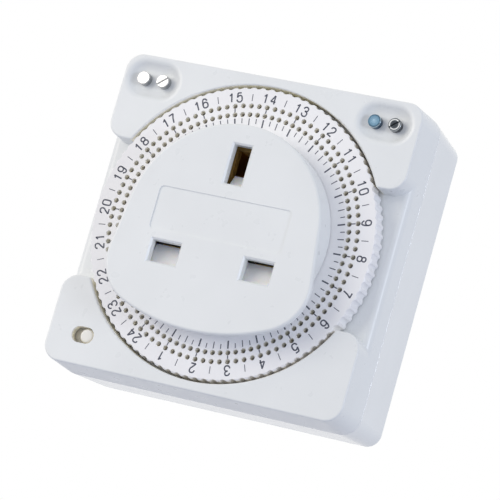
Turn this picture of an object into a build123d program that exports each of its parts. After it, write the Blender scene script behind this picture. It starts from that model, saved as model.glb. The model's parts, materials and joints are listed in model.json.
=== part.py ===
from build123d import *
import math
import os

# Plug-in 24 hour timer switch for British outlets, in millimetres.
# +Z is up and +X is to the right as the front is seen; the front faces -Y.
# The origin is the centre of the flat back face, on the axis of the dial.
# A "depth" is a distance behind the front plateau of the casing, towards the wall.

# ---- casing
case_margin = 2.15
case_corner = 3.9
case_draft = 2.2
rear_draft = 3.4
wall = 2.0
ear_skin = 2.0
front_edge_round = 0.4
back_edge_round = 1.0
seam_bevel = 0.2

# ---- well, ledges and floor of the front cover
well_gap = 0.55
well_depth = 5.0
well_wall = 1.6
ledge_half = 16.2
ledge_round = 1.8
ear_round = 3.8
ear_well_round = 0.6
floor_thickness = 2.0

# ---- dial
scale_width = 4.3
rim_height = 4.5
rim_wall = 0.9
rim_bevel = 0.3
disc_thickness = 2.2
scallops = 96
scallop_radius = 0.95
scallop_bite = 0.4
dial_steps = 96
hole_ring_step = 2.0
hole_ring_inset = 0.8
tappet_hole_radius = 0.58
bezel_width = 2.9
bezel_shelf = 1.3
bezel_drop = 0.3
collar_wall = 1.6
collar_gap = 0.47
running_fit = 0.08
hub_wall = 1.3

# ---- gears: the dial is followed by the drive gear, the idler gear and the motor pinion
pressure_angle = 20.0
gear_rim = 0.9
dial_teeth = 96
train_module = 0.4
wheel_teeth = 36
pinion_teeth = 12
backlash = 0.12
wheel_addendum = 0.9
pinion_addendum = 0.8
gear_dedendum = 1.3
gear_width = 0.9
gear_gap = 0.3
gear_room = 1.1
arbor_radius = 0.75
drive_angle = -60.0
idler_angle = 7.4

# ---- socket face
boss_height = 7.0
boss_wall = 2.2
boss_side_wall = 1.8
boss_lip = 0.85
boss_flank_angle = 7.5
boss_chin = 2.3
boss_bottom_radius = 45.0
boss_corner = 11.0
boss_edge_round = 0.6
boss_plate = 1.2
boss_foot_lip = 0.8
flange_thickness = 1.0
guide_wall = 0.9
lug_skin = 2.0
notch_gap = 1.0
panel_width = 31.8
panel_height = 9.9
panel_x = -0.35
panel_z = 0.95
panel_depth = 0.25
panel_corner = 1.0

# ---- pins and slots of the British pattern
pin_pitch = 22.23
earth_z = 13.6
pin_width = 6.35
pin_thickness = 3.97
pin_length = 17.7
earth_pin_width = 7.92
earth_pin_length = 22.7
sleeve_length = 9.5
sleeve_wall = 0.7
pin_tip_bevel = 1.0
slot_width = 6.9
slot_height = 4.9
earth_slot_width = 4.25
earth_slot_height = 8.96
slot_bevel = 0.4

# ---- shutter behind the slots
shutter_travel = 4.6
shutter_thickness = 2.2
shutter_overlap = 0.6
shutter_slit = 0.12
tongue_width = 3.4
ramp_start = 0.2
ramp_length = 2.6
shutter_lip = 0.4
shutter_corner = 0.8
spring_seat_width = 3.0
spring_wire = 0.35
spring_radius = 0.7
spring_turns = 8

# ---- contacts and carrier
contact_gap = 4.2
contact_metal = 0.6
contact_reach = 12.4
earth_contact_reach = 16.8
contact_width = 6.0
earth_contact_width = 8.4
pocket_gap = 0.1
carrier_wall = 1.2
carrier_floor = 1.6
carrier_flange = 1.0
tab_width = 5.0
bar_thickness = 0.8
pin_head_thickness = 1.2
pin_head_margin = 0.8
pin_boss_height = 3.0
pin_boss_wall = 1.4
bar_width = 3.5
bar_gap = 1.6
load_bar_z = 4.5
feed_bar_z = 0.0
pin_neck = 1.9

# ---- chassis plate
chassis_thickness = 1.6
chassis_margin = 0.4

# ---- motor
motor_radius = 9.0
motor_gap = 0.69
motor_length = 7.6
motor_wall = 0.5
gearbox_length = 4.0
bearing_length = 1.0
rotor_radius = 4.2
coil_gap = 0.5
shaft_radius = 0.75

# ---- screws
screw_inset_x = 5.0
screw_inset_z = 15.5
screw_column = 2.9
screw_radius = 1.2
screw_hole_depth = 3.6
screw_head_radius = 2.1
screw_head_height = 1.6
screw_slot_length = 2.6
screw_slot_width = 0.6
screw_slot_depth = 0.9
socket_screw_inset = 5.0
socket_screw_z = 6.5
motor_lug_angle = 35.0
motor_lug_radius = 2.2
motor_lug_thickness = 1.2
motor_screw_radius = 0.8

# ---- trip lever, override slide and switch
slide_travel = 1.7
button_radius = 1.6
button_round = 0.5
button_inset_x = 9.3
button_inset_z = 6.8
button_drop = 0.3
slot_clearance = 0.25
shield_lap = 0.4
shield_thickness = 0.8
slider_shoe_x = 3.6
slider_shoe_z = 2.7
shoe_thickness = 0.8
pivot_inset_x = 11.3
pivot_inset_z = 19.2
pivot_radius = 1.0
lever_thickness = 1.4
lever_hub = 2.2
lever_arm = 1.2
nose_angle = -125.0
nose_gap = 0.3
nose_radius = 0.6
nose_window = 1.2
fork_gap = 0.2
fork_wall = 1.1
blade_length = 16.8
blade_tail = 1.6
blade_post_radius = 0.8
blade_curl = 0.5
blade_thickness = 0.4
blade_width = 3.6
blade_gap = 0.7
blade_bar_gap = 0.4
push_offset = 0.3
push_arm = 9.0
push_radius = 0.9
rivet_radius = 1.3
rivet_height = 0.9
rivet_margin = 0.7
rivet_rise = 3.8
contact_opening = 4.2
switch_base_margin = 2.5
switch_base_thickness = 1.2
rib_height = 1.4
rib_width = 1.0

# ---- tappets and their storage dishes
dish_width = 12.8
dish_height = 8.7
dish_depth = 1.3
dish_slope = 50.0
dish_edge_round = 1.8
dish_floor_round = 3.0
dish_inset_x = 7.9
dish_inset_z = 5.5
dish_shift = -0.4
tappet_spacing = 4.75
tappet_head_radius = 1.5
tappet_head_height = 1.6
tappet_edge_round = 0.2
tappet_pin_radius = 0.52
tappet_pin_length = 4.4
tappet_slot_width = 0.45
tappet_slot_depth = 0.4
tappet_slot_angle = 40.0

# ---- small distances shared by many pieces
clearance = 0.3
fine_gap = 0.1

# ---- the pin pattern, and the round parts that follow from it outwards
live_x = pin_pitch / 2
neutral_x = -pin_pitch / 2
line_z = earth_z - pin_pitch
pocket_half = contact_gap / 2 + contact_metal + pocket_gap
carrier_half_width = live_x + contact_width / 2 + pocket_gap + carrier_wall
carrier_bottom = line_z - pocket_half - carrier_wall
carrier_top = earth_z + earth_contact_width / 2 + pocket_gap + carrier_wall
collar_radius = math.hypot(carrier_half_width, carrier_bottom) + collar_gap + collar_wall
hub_inner = collar_radius + running_fit
hub_outer = hub_inner + hub_wall
bezel_inner = collar_radius + bezel_shelf
bezel_outer = bezel_inner + bezel_width
inner_hole_ring = bezel_outer + hole_ring_inset
outer_hole_ring = inner_hole_ring + hole_ring_step
dial_radius = outer_hole_ring + scale_width
well_radius = dial_radius + well_gap
floor_hole = hub_outer + clearance
boss_foot_radius = collar_radius + boss_foot_lip
boss_top_radius = collar_radius + boss_lip
boss_bottom = collar_radius + boss_chin
half_case = well_radius + case_margin
case_width = 2 * half_case
inner_width = case_width - 2 * wall

# ---- depths, from the front to the back
floor_depth = well_depth + floor_thickness
dial_gear_depth = floor_depth + clearance
drive_gear_depth = dial_gear_depth + gear_width + gear_gap
idler_gear_depth = drive_gear_depth + gear_width + gear_gap
gears_back = idler_gear_depth + gear_width
lever_depth = drive_gear_depth
seam_depth = gears_back + gear_room
chassis_back = seam_depth + chassis_thickness
blade_depth = chassis_back + switch_base_thickness + blade_gap
load_bar_depth = blade_depth + blade_width + blade_bar_gap
feed_bar_depth = load_bar_depth + bar_thickness + bar_gap
pin_head_depth = feed_bar_depth + bar_thickness + pin_neck
pin_boss_depth = pin_head_depth + pin_head_thickness
back_wall_depth = pin_boss_depth + pin_boss_height
body_depth = back_wall_depth + wall
screw_head_depth = body_depth - screw_head_height
boss_plate_depth = boss_plate - boss_height
boss_cavity_depth = boss_wall - boss_height
boss_foot_depth = bezel_drop - clearance
shutter_front = boss_cavity_depth + clearance
shutter_back = shutter_front + shutter_thickness
carrier_front = shutter_back + clearance
flange_front = boss_foot_depth - flange_thickness

# ---- the casing's outline at the seam
seam_width = case_width + 2 * seam_depth * math.tan(math.radians(case_draft))
seam_corner = case_corner + seam_depth * math.tan(math.radians(case_draft))

# ---- the gear train, from the dial to the motor
dial_module = 2 * (hub_outer + gear_rim) / (dial_teeth - 2 * gear_dedendum)
drive_distance = (dial_teeth + pinion_teeth) * dial_module / 2
drive_x = drive_distance * math.cos(math.radians(drive_angle))
drive_z = drive_distance * math.sin(math.radians(drive_angle))
train_distance = (wheel_teeth + pinion_teeth) * train_module / 2
train_span = 2 * train_distance * math.cos(math.radians(idler_angle))
idler_rise = math.tan(math.radians(idler_angle)) / 2
motor_z = motor_radius + motor_gap - inner_width / 2
motor_x = drive_x - math.sqrt(train_span ** 2 - (motor_z - drive_z) ** 2)
idler_x = (motor_x + drive_x) / 2 + (motor_z - drive_z) * idler_rise
idler_z = (motor_z + drive_z) / 2 + (drive_x - motor_x) * idler_rise
wheel_tip = (wheel_teeth / 2 + wheel_addendum) * train_module
gear_notch = -idler_z - wheel_tip - notch_gap

# ---- the shutter behind the slots
shutter_half_width = live_x + slot_width / 2 + shutter_overlap
shutter_top = line_z + slot_height / 2 - shutter_slit
shutter_bottom = line_z - slot_height / 2 - shutter_overlap
ramp_foot = earth_z - earth_slot_height / 2 + ramp_start
ramp_crest = ramp_foot + ramp_length
spring_seat = boss_side_wall - boss_foot_radius

# ---- screws, dishes, override slide, lever and switch
screw_x = half_case - screw_inset_x
screw_z = half_case - screw_inset_z
socket_screw_x = collar_radius - socket_screw_inset
dish_x = half_case - dish_inset_x
dish_z = half_case - dish_inset_z
button_x = button_inset_x - half_case
button_z = button_inset_z - half_case
pivot_x = pivot_inset_x - half_case
pivot_z = pivot_inset_z - half_case
nose_ring = inner_hole_ring + nose_gap
push_x = pivot_x - push_offset
push_z = pivot_z + push_arm
blade_x = push_x + push_radius + clearance
blade_pivot_z = push_z + blade_length
blade_end_z = push_z - blade_tail
rivet_z = push_z + rivet_rise
fixed_contact_x = pivot_x + contact_opening


def front_view(depth):
    """Plane seen from the front at a depth: its x is +X, its y is +Z and it faces the viewer."""
    return Plane(origin=(0, depth - body_depth, 0), x_dir=(1, 0, 0), z_dir=(0, -1, 0))


def slab(profile, near, far):
    """Solid of a front-view profile between two depths."""
    return extrude(front_view(far) * profile, far - near)


def rod(x, z, radius, near, far):
    """Round bar along the depth."""
    return slab(Pos(x, z) * Circle(radius), near, far)


def block(x_low, x_high, z_low, z_high, near, far):
    """Plain box between two depths."""
    middle = Pos((x_low + x_high) / 2, (z_low + z_high) / 2)
    return slab(middle * Rectangle(x_high - x_low, z_high - z_low), near, far)


def turned(points):
    """Ring turned about the dial's axis from (radius, depth) points."""
    outline = Polyline([(radius, depth - body_depth) for radius, depth in points], close=True)
    return revolve(make_face(outline), Axis.Y)


def side_slab(points, x_low, x_high):
    """Solid of a side profile of (depth, z) points between two places across the part."""
    plane = Plane(origin=(x_low, -body_depth, 0), x_dir=(0, 1, 0), z_dir=(1, 0, 0))
    return extrude(plane * make_face(Polyline(points, close=True)), x_high - x_low)


def corners():
    """Places of the four case screws."""
    return [(sx * screw_x, sz * screw_z) for sx in (-1, 1) for sz in (-1, 1)]


def dish_places():
    """Centres of the two tappet dishes."""
    return [(dish_shift - dish_x, dish_z), (dish_shift + dish_x, dish_z)]


def tappet_places():
    """Centres of the four stored tappets, from left to right."""
    half = tappet_spacing / 2
    return [(x + side * half, z) for x, z in dish_places() for side in (-1, 1)]


# ---------------------------------------------------------------- gears

def involute(angle):
    """Involute function of a pressure angle in radians."""
    return math.tan(angle) - angle


def gear_face(teeth, module, phase, addendum):
    """Front-view outline of a spur gear whose first tooth points at the phase, in degrees."""
    pitch_radius = teeth * module / 2
    base_radius = pitch_radius * math.cos(math.radians(pressure_angle))
    root_radius = pitch_radius - gear_dedendum * module
    tip_radius = pitch_radius + addendum * module
    half_tooth = math.pi / (2 * teeth) - backlash / (4 * pitch_radius)
    half_tooth += involute(math.radians(pressure_angle))
    start = max(base_radius, root_radius)
    radii = [start, (start + tip_radius) / 2, tip_radius]
    flank = [(radius, half_tooth - involute(math.acos(min(1.0, base_radius / radius))))
             for radius in radii]
    if root_radius < base_radius:
        flank.insert(0, (root_radius, flank[0][1]))
    points = []
    for tooth in range(teeth):
        centre = math.radians(phase) + 2 * math.pi * tooth / teeth
        for radius, half in flank:
            points.append((radius * math.cos(centre - half), radius * math.sin(centre - half)))
        for radius, half in reversed(flank):
            points.append((radius * math.cos(centre + half), radius * math.sin(centre + half)))
    return make_face(Polyline(points, close=True))


def meshing_phase(direction, teeth):
    """Phase that puts a gap of a gear where its neighbour's tooth comes in, from a direction."""
    return direction + 180 + 180 / teeth


def direction_to(start, end):
    """Direction in degrees, seen from the front, from one centre to another."""
    return math.degrees(math.atan2(end[1] - start[1], end[0] - start[0]))


def drive_centre():
    """Centre of the drive gear, in mesh with the dial gear."""
    return (drive_x, drive_z)


def idler_centre():
    """Centre of the idler gear, in mesh with the drive gear and the motor pinion."""
    return (idler_x, idler_z)


def dial_gear():
    """Ring gear on the rear end of the dial's hub; it also keeps the dial in the casing."""
    outline = gear_face(dial_teeth, dial_module, drive_angle, wheel_addendum)
    ring = slab(outline, dial_gear_depth, dial_gear_depth + gear_width)
    return ring - rod(0, 0, hub_outer, dial_gear_depth, dial_gear_depth + gear_width)


def drive_gear():
    """Pinion in mesh with the dial gear and, behind it, a wheel driven by the idler."""
    x, z = drive_centre()
    pinion_phase = meshing_phase(drive_angle, pinion_teeth)
    pinion = Pos(x, z) * gear_face(pinion_teeth, dial_module, pinion_phase, pinion_addendum)
    wheel_phase = direction_to((x, z), idler_centre())
    wheel = Pos(x, z) * gear_face(wheel_teeth, train_module, wheel_phase, wheel_addendum)
    gear = slab(pinion, dial_gear_depth, drive_gear_depth)
    gear += slab(wheel, drive_gear_depth, drive_gear_depth + gear_width)
    gear += rod(x, z, 2 * arbor_radius, drive_gear_depth + gear_width, seam_depth - clearance)
    return gear - rod(x, z, arbor_radius + running_fit / 2, dial_gear_depth, seam_depth)


def idler_gear():
    """Pinion in mesh with the drive wheel and, behind it, a wheel driven by the motor."""
    x, z = idler_centre()
    pinion_phase = meshing_phase(direction_to(drive_centre(), (x, z)), pinion_teeth)
    pinion = Pos(x, z) * gear_face(pinion_teeth, train_module, pinion_phase, pinion_addendum)
    wheel_phase = direction_to((x, z), (motor_x, motor_z))
    wheel = Pos(x, z) * gear_face(wheel_teeth, train_module, wheel_phase, wheel_addendum)
    gear = slab(pinion, drive_gear_depth, idler_gear_depth)
    gear += slab(wheel, idler_gear_depth, gears_back)
    return gear - rod(x, z, arbor_radius + running_fit / 2, drive_gear_depth, gears_back)


def motor_pinion():
    """Output shaft of the motor's gearbox with its pinion."""
    phase = meshing_phase(direction_to(idler_centre(), (motor_x, motor_z)), pinion_teeth)
    pinion = Pos(motor_x, motor_z) * gear_face(pinion_teeth, train_module, phase, pinion_addendum)
    shaft = rod(motor_x, motor_z, shaft_radius, gears_back, chassis_back + gearbox_length / 2)
    return slab(pinion, idler_gear_depth, gears_back) + shaft


def gear_arbors():
    """Two fixed steel pins that carry the drive gear and the idler gear."""
    drive = drive_centre()
    idler = idler_centre()
    arbors = rod(drive[0], drive[1], arbor_radius, floor_depth, chassis_back)
    arbors += rod(idler[0], idler[1], arbor_radius, drive_gear_depth, chassis_back)
    return arbors


# ---------------------------------------------------------------- casing

def tapered(profile, near, far, draft):
    """Solid of a symmetric profile at the near depth that widens by the draft towards the back."""
    plane = Plane(origin=(0, near - body_depth, 0), x_dir=(1, 0, 0), z_dir=(0, 1, 0))
    return extrude(plane * profile, far - near, taper=-draft)


def grown(depth, draft):
    """Growth of a drafted outline, to each side, over a depth."""
    return depth * math.tan(math.radians(draft))


def ear_profile():
    """Front view of the raised ears: the square less the well and the two side ledges."""
    upper = RectangleRounded(case_width, case_width, case_corner) - Circle(well_radius)
    upper -= Pos(0, ledge_half - case_width) * Rectangle(2 * case_width, 2 * case_width)
    face = upper.face()
    foot = face.vertices().group_by(Axis.Y)[0]
    face = face.fillet_2d(ear_round, foot.filter_by(lambda v: abs(v.X) > well_radius))
    foot = face.vertices().group_by(Axis.Y)[0]
    face = face.fillet_2d(ear_well_round, foot.sort_by(lambda v: abs(v.X))[:2])
    return Sketch() + face + Rot(0, 0, 180) * face


def front_shell():
    """Outer form of the front cover, solid inside."""
    width = case_width + 2 * grown(well_depth, case_draft)
    corner = case_corner + grown(well_depth, case_draft)
    skirt = tapered(RectangleRounded(width, width, corner), well_depth, seam_depth, case_draft)
    ledge_edges = skirt.edges().group_by(Axis.Y)[0]
    skirt = fillet(ledge_edges, ledge_round)
    ears = tapered(ear_profile(), 0, well_depth + ledge_round, case_draft)
    ears = fillet(ears.edges().group_by(Axis.Y)[0], front_edge_round)
    return skirt + ears


def dish_cutter(x, z):
    """Soft oval dish cut into an ear, narrower at its floor and with no sharp foot."""
    plane = Plane(origin=(x, -body_depth, z), x_dir=(1, 0, 0), z_dir=(0, 1, 0))
    dish = extrude(plane * SlotOverall(dish_width, dish_height), dish_depth, taper=dish_slope)
    return fillet(dish.edges().group_by(Axis.Y)[-1], dish_floor_round)


def dish_edge(edge, x, z):
    """Whether an edge of the plateau belongs to the mouth of the dish at a place."""
    middle = edge.center()
    return abs(middle.X - x) < dish_width / 2 and abs(middle.Z - z) < dish_height / 2 + fine_gap


def front_cover():
    """Bezel with ears, well and ledges, hollow behind, with columns for the screws."""
    cover = front_shell()
    cover -= slab(RectangleRounded(inner_width, inner_width, case_corner - wall / 2),
                  floor_depth, seam_depth)
    pocket = RectangleRounded(inner_width, inner_width, case_corner - wall / 2)
    pocket -= Circle(well_radius + well_wall)
    pocket -= Rectangle(case_width, 2 * (ledge_half + well_wall))
    cover -= slab(pocket, ear_skin, floor_depth)
    for x, z in dish_places():
        pad = Pos(x, z) * SlotOverall(dish_width, dish_height)
        cover += slab(pad, ear_skin, dish_depth + ear_skin) & slab(pocket, ear_skin, floor_depth)
        cover -= dish_cutter(x, z)
        mouth = cover.edges().group_by(Axis.Y)[0]
        cover = fillet(mouth.filter_by(lambda e: dish_edge(e, x, z)), dish_edge_round)
    for x, z in corners():
        cover += rod(x, z, screw_column, ear_skin, seam_depth)
        cover -= rod(x, z, screw_radius, screw_hole_depth, seam_depth)
    for x, z in tappet_places():
        cover -= rod(x, z, tappet_pin_radius + running_fit, 0, floor_depth)
    cover -= rod(0, 0, floor_hole, well_depth, floor_depth)
    slot = arm((button_x, button_z), (button_x - slide_travel, button_z),
               button_radius + slot_clearance)
    cover -= slab(slot, 0, floor_depth)
    cover -= nose_window_cutter()
    return cover


def nose_window_cutter():
    """Window in the well's floor for the lever's nose, with room for its swing."""
    swing = nose_swing()
    window = Rectangle(swing + 2 * nose_window, 2 * nose_window)
    place = Rot(0, 0, nose_angle) * Pos(nose_ring + swing / 2, 0) * window
    return slab(place, well_depth, floor_depth)


def rear_shell(shrink, near, far):
    """Drafted body of the rear cover between two depths, smaller by a shrink on each side."""
    width = seam_width - 2 * shrink - 2 * grown(near - seam_depth, rear_draft)
    corner = seam_corner - shrink - grown(near - seam_depth, rear_draft)
    profile = RectangleRounded(width, width, corner)
    return tapered(profile, near, far, -rear_draft)


def pin_profile(grow):
    """Outline of the live and neutral pins, grown on each side."""
    return Rectangle(pin_width + 2 * grow, pin_thickness + 2 * grow)


def earth_pin_profile(grow):
    """Outline of the earth pin, grown on each side."""
    return Rectangle(pin_thickness + 2 * grow, earth_pin_width + 2 * grow)


def rear_cover():
    """Back shell with the plug face, screw columns and seats for the three pins."""
    cover = rear_shell(0, seam_depth, body_depth)
    cover = fillet(cover.edges().group_by(Axis.Y)[-1], back_edge_round)
    cover = chamfer(cover.edges().group_by(Axis.Y)[0], seam_bevel)
    cover -= rear_shell(wall, seam_depth, back_wall_depth)
    for x, z in corners():
        cover += rod(x, z, screw_column, chassis_back, back_wall_depth)
    for x in (live_x, neutral_x):
        boss = Pos(x, line_z) * pin_profile(pin_boss_wall)
        cover += slab(boss, pin_boss_depth, back_wall_depth)
        cover -= slab(Pos(x, line_z) * pin_profile(0), pin_boss_depth, body_depth)
    boss = Pos(0, earth_z) * earth_pin_profile(pin_boss_wall)
    cover += slab(boss, pin_boss_depth, back_wall_depth)
    cover -= slab(Pos(0, earth_z) * earth_pin_profile(0), pin_boss_depth, body_depth)
    for x, z in corners():
        cover -= rod(x, z, screw_radius, chassis_back, body_depth)
        cover -= rod(x, z, screw_head_radius + fine_gap, screw_head_depth, body_depth)
    return cover


def case_screws():
    """Four screws put in from the back, through the chassis into the front cover."""
    screws = []
    for x, z in corners():
        screw = rod(x, z, screw_radius, screw_hole_depth + clearance, screw_head_depth)
        screw += rod(x, z, screw_head_radius, screw_head_depth, body_depth - fine_gap)
        cross = Rectangle(screw_slot_length, screw_slot_width)
        cross += Rectangle(screw_slot_width, screw_slot_length)
        screw -= slab(Pos(x, z) * cross, body_depth - screw_slot_depth, body_depth)
        screws.append(screw)
    return Compound(children=screws)


# ---------------------------------------------------------------- socket

def boss_profile():
    """Front view of the socket face: round on top, flared flanks, round lower corners."""
    angle = math.radians(boss_flank_angle)
    top_x = boss_top_radius * math.cos(angle)
    top_z = boss_top_radius * math.sin(angle)
    low_z = -boss_bottom - 1
    low_x = top_x + (top_z - low_z) * math.tan(angle)
    flanks = Polygon((-top_x, top_z), (-low_x, low_z), (low_x, low_z), (top_x, top_z), align=None)
    bottom = Pos(0, boss_bottom_radius - boss_bottom) * Circle(boss_bottom_radius)
    outline = (Circle(boss_top_radius) + flanks) & bottom
    lower = outline.vertices().filter_by(lambda v: v.Y < -boss_top_radius / 2)
    return fillet(lower, boss_corner)


def slot_cutters(near, far):
    """The three slots of the socket, through a range of depths, with bevelled mouths."""
    earth = Pos(0, earth_z) * Rectangle(earth_slot_width, earth_slot_height)
    cutters = slab(earth, near, far)
    for x in (live_x, neutral_x):
        cutters += slab(Pos(x, line_z) * Rectangle(slot_width, slot_height), near, far)
    return cutters


def foot_outline(outline, radius):
    """Circle whose arcs end in the same directions as the edges of another outline."""
    ends = sorted(math.degrees(math.atan2(v.Y, v.X)) for v in outline.vertices())
    spans = [after - before for before, after in zip(ends, ends[1:] + [ends[0] + 360])]
    return make_face([CenterArc((0, 0), radius, start, span) for start, span in zip(ends, spans)])


def boss_skirt(shrink):
    """Flank of the socket face, from its outline down to the round foot, smaller by a shrink."""
    outline = offset(boss_profile(), -shrink) if shrink else boss_profile()
    foot = foot_outline(outline, boss_foot_radius - shrink)
    near = front_view(boss_plate_depth) * outline
    return loft([near.face(), (front_view(boss_foot_depth) * foot).face()], ruled=True)


def shutter_guides():
    """Two ribs beside the shutter and the seat of its spring."""
    ribs = block(-spring_seat_width / 2, spring_seat_width / 2, -boss_foot_radius, spring_seat,
                 boss_cavity_depth, carrier_front)
    for side in (-1, 1):
        x = side * (shutter_half_width + clearance + guide_wall / 2)
        ribs += block(x - guide_wall / 2, x + guide_wall / 2, shutter_bottom - shutter_travel,
                      shutter_top, boss_cavity_depth, carrier_front)
    return ribs


def socket_cover():
    """Socket face: a cap over the shutter, with the collar that carries the dial."""
    front = -boss_height
    outline = boss_profile()
    cap = slab(outline, front, boss_plate_depth)
    cap = fillet(cap.edges().group_by(Axis.Y)[0], boss_edge_round)
    cap += boss_skirt(0)
    cap -= boss_skirt(boss_side_wall) & slab(outline, boss_cavity_depth, flange_front)
    panel = Pos(panel_x, panel_z) * RectangleRounded(panel_width, panel_height, panel_corner)
    cap -= slab(panel, front, front + panel_depth)
    cap -= slot_cutters(front, front + boss_wall)
    mouths = cap.edges().group_by(Axis.Y)[0].filter_by(GeomType.LINE)
    mouths = mouths.filter_by(lambda e: abs(e.center().Z - panel_z) > panel_height / 2 + slot_bevel)
    cap = chamfer(mouths, slot_bevel)
    inner = collar_radius - collar_wall
    cap -= rod(0, 0, inner, flange_front, boss_foot_depth)
    collar = slab(Circle(collar_radius) - Circle(inner), flange_front, seam_depth)
    notch = Pos(0, -collar_radius) * Rectangle(2 * collar_radius, 2 * (collar_radius - gear_notch))
    collar -= slab(notch, drive_gear_depth - fine_gap, seam_depth)
    cap += collar
    cap += shutter_guides()
    for side in (-1, 1):
        lug = rod(side * socket_screw_x, socket_screw_z, screw_column, 0, seam_depth)
        cap += lug & rod(0, 0, collar_radius, 0, seam_depth)
        hole = rod(side * socket_screw_x, socket_screw_z, screw_radius, lug_skin, seam_depth)
        cap -= hole
    return cap


def socket_screws():
    """Two screws from behind the chassis into the socket cover's lugs."""
    screws = []
    for side in (-1, 1):
        x = side * socket_screw_x
        screw = rod(x, socket_screw_z, screw_radius, lug_skin + clearance, chassis_back)
        screw += rod(x, socket_screw_z, screw_head_radius, chassis_back,
                     chassis_back + screw_head_height)
        screws.append(screw)
    return Compound(children=screws)


def shutter():
    """Sliding shutter: sloped faces behind two slots and a ramp in the foot of the third."""
    back = shutter_back
    front = shutter_front
    wedge = [(back, shutter_top), (back - shutter_lip, shutter_top),
             (front, shutter_bottom + shutter_lip), (front, shutter_bottom), (back, shutter_bottom)]
    plate = side_slab(wedge, -shutter_half_width, shutter_half_width)
    web = live_x - slot_width / 2 - 2 * clearance
    plate += block(-web, web, shutter_bottom, shutter_top, front, back)
    lower = plate.edges().filter_by(Axis.Y).group_by(Axis.Z)[0].sort_by(Axis.X)
    plate = chamfer([lower[0], lower[-1]], shutter_corner)
    half = tongue_width / 2
    tongue = [(back, shutter_bottom), (front, shutter_bottom), (front, ramp_foot),
              (back - shutter_lip, ramp_crest), (back, ramp_crest)]
    return plate + side_slab(tongue, -half, half)


def shutter_spring():
    """Compression spring that pushes the shutter up, seated on the bottom of the socket cover."""
    middle = (shutter_front + shutter_back) / 2 - body_depth
    length = shutter_bottom - spring_seat - spring_wire
    coil = Helix(length / spring_turns, length, spring_radius,
                 center=(0, middle, spring_seat + spring_wire / 2), direction=(0, 0, 1))
    section = Plane(origin=coil @ 0, z_dir=coil % 0) * Circle(spring_wire / 2)
    return sweep(section, path=coil, is_frenet=True)


# ---------------------------------------------------------------- contacts, carrier and pins

def carrier_profile(grow):
    """Front view of the contact carrier: a wide foot and a narrow post, grown on each side."""
    across = pocket_half + carrier_wall + grow
    top = carrier_top + grow
    foot = Pos(0, line_z) * Rectangle(2 * (carrier_half_width + grow), 2 * across)
    post = Pos(0, (top + line_z) / 2) * Rectangle(2 * across, top - line_z)
    return foot + post


def contact_carrier():
    """Moulded block that holds the three contacts, put through the chassis from behind."""
    back = contact_reach + carrier_floor
    earth_back = earth_contact_reach + carrier_floor
    carrier = slab(carrier_profile(0), carrier_front, back)
    flange_back = chassis_back + carrier_flange
    carrier += slab(carrier_profile(carrier_flange), chassis_back, flange_back)
    half = pocket_half
    earth_half = earth_contact_width / 2 + pocket_gap
    outer = half + carrier_wall
    tower = Pos(0, earth_z) * Rectangle(2 * outer, 2 * (earth_half + carrier_wall))
    carrier += slab(tower, carrier_front, earth_back)
    pocket = Pos(0, earth_z) * Rectangle(2 * half, 2 * earth_half)
    carrier -= slab(pocket, carrier_front, earth_contact_reach)
    tab = Pos(0, earth_z) * Rectangle(bar_thickness, tab_width)
    carrier -= slab(tab, earth_contact_reach, earth_back)
    for x in (live_x, neutral_x):
        pocket = Pos(x, line_z) * Rectangle(contact_width + 2 * pocket_gap, 2 * half)
        carrier -= slab(pocket, carrier_front, contact_reach)
        tab = Pos(x, line_z) * Rectangle(tab_width, bar_thickness)
        carrier -= slab(tab, contact_reach, max(back, flange_back))
    return carrier


def clip(width, reach, tab_end):
    """Two brass leaves joined at the back, with a tab; the leaves lie above and below the pin."""
    outer = contact_gap / 2 + contact_metal
    front = carrier_front + clearance
    shape = slab(Rectangle(width, 2 * outer), front, reach)
    shape -= slab(Rectangle(width, contact_gap), front, reach - contact_metal)
    shape += slab(Rectangle(tab_width, bar_thickness), reach, tab_end)
    return shape


def live_contact():
    """Live socket contact; its tab ends on the load bar."""
    return Pos(live_x, 0, line_z) * clip(contact_width, contact_reach, load_bar_depth)


def neutral_contact():
    """Neutral socket contact."""
    end = contact_reach + 2 * carrier_floor
    return Pos(neutral_x, 0, line_z) * clip(contact_width, contact_reach, end)


def earth_contact():
    """Earth socket contact, its leaves to the left and right of the pin."""
    end = earth_contact_reach + 2 * carrier_floor
    shape = clip(earth_contact_width, earth_contact_reach, end)
    return Pos(0, 0, earth_z) * Rot(0, 90, 0) * shape


def neutral_link():
    """Strip from the neutral contact's tab straight back to the head of the neutral pin."""
    low = line_z + bar_thickness / 2
    start = chassis_back + carrier_flange
    return block(neutral_x - tab_width / 2, neutral_x + tab_width / 2, low, low + bar_thickness,
                 start, pin_head_depth)


def earth_link():
    """Strip from the earth contact's tab straight back to the head of the earth pin."""
    low = bar_thickness / 2
    start = earth_contact_reach + carrier_floor
    return block(low, low + bar_thickness, earth_z - tab_width / 2, earth_z + tab_width / 2,
                 start, pin_head_depth)


def live_bar(depth, low_z, end_x):
    """Flat bar from the live line across to the switch: a leg down and an arm to the left."""
    right = live_x + tab_width / 2
    across = block(end_x, right, low_z, low_z + bar_width, depth, depth + bar_thickness)
    leg = block(live_x - tab_width / 2, right, line_z - tab_width / 2, low_z, depth,
                depth + bar_thickness)
    return across + leg


def live_load_bar():
    """Bar from the post of the moving contact to the live socket contact."""
    left = blade_x - 2 * blade_post_radius
    bar = live_bar(load_bar_depth, load_bar_z, left)
    lift = block(left, left + bar_width, load_bar_z, blade_pivot_z + bar_width / 2,
                 load_bar_depth, load_bar_depth + bar_thickness)
    return bar + lift


def live_feed_bar():
    """Bar from the live pin to the fixed contact."""
    left = fixed_contact_x - bar_thickness
    return live_bar(feed_bar_depth, feed_bar_z, left)


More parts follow.
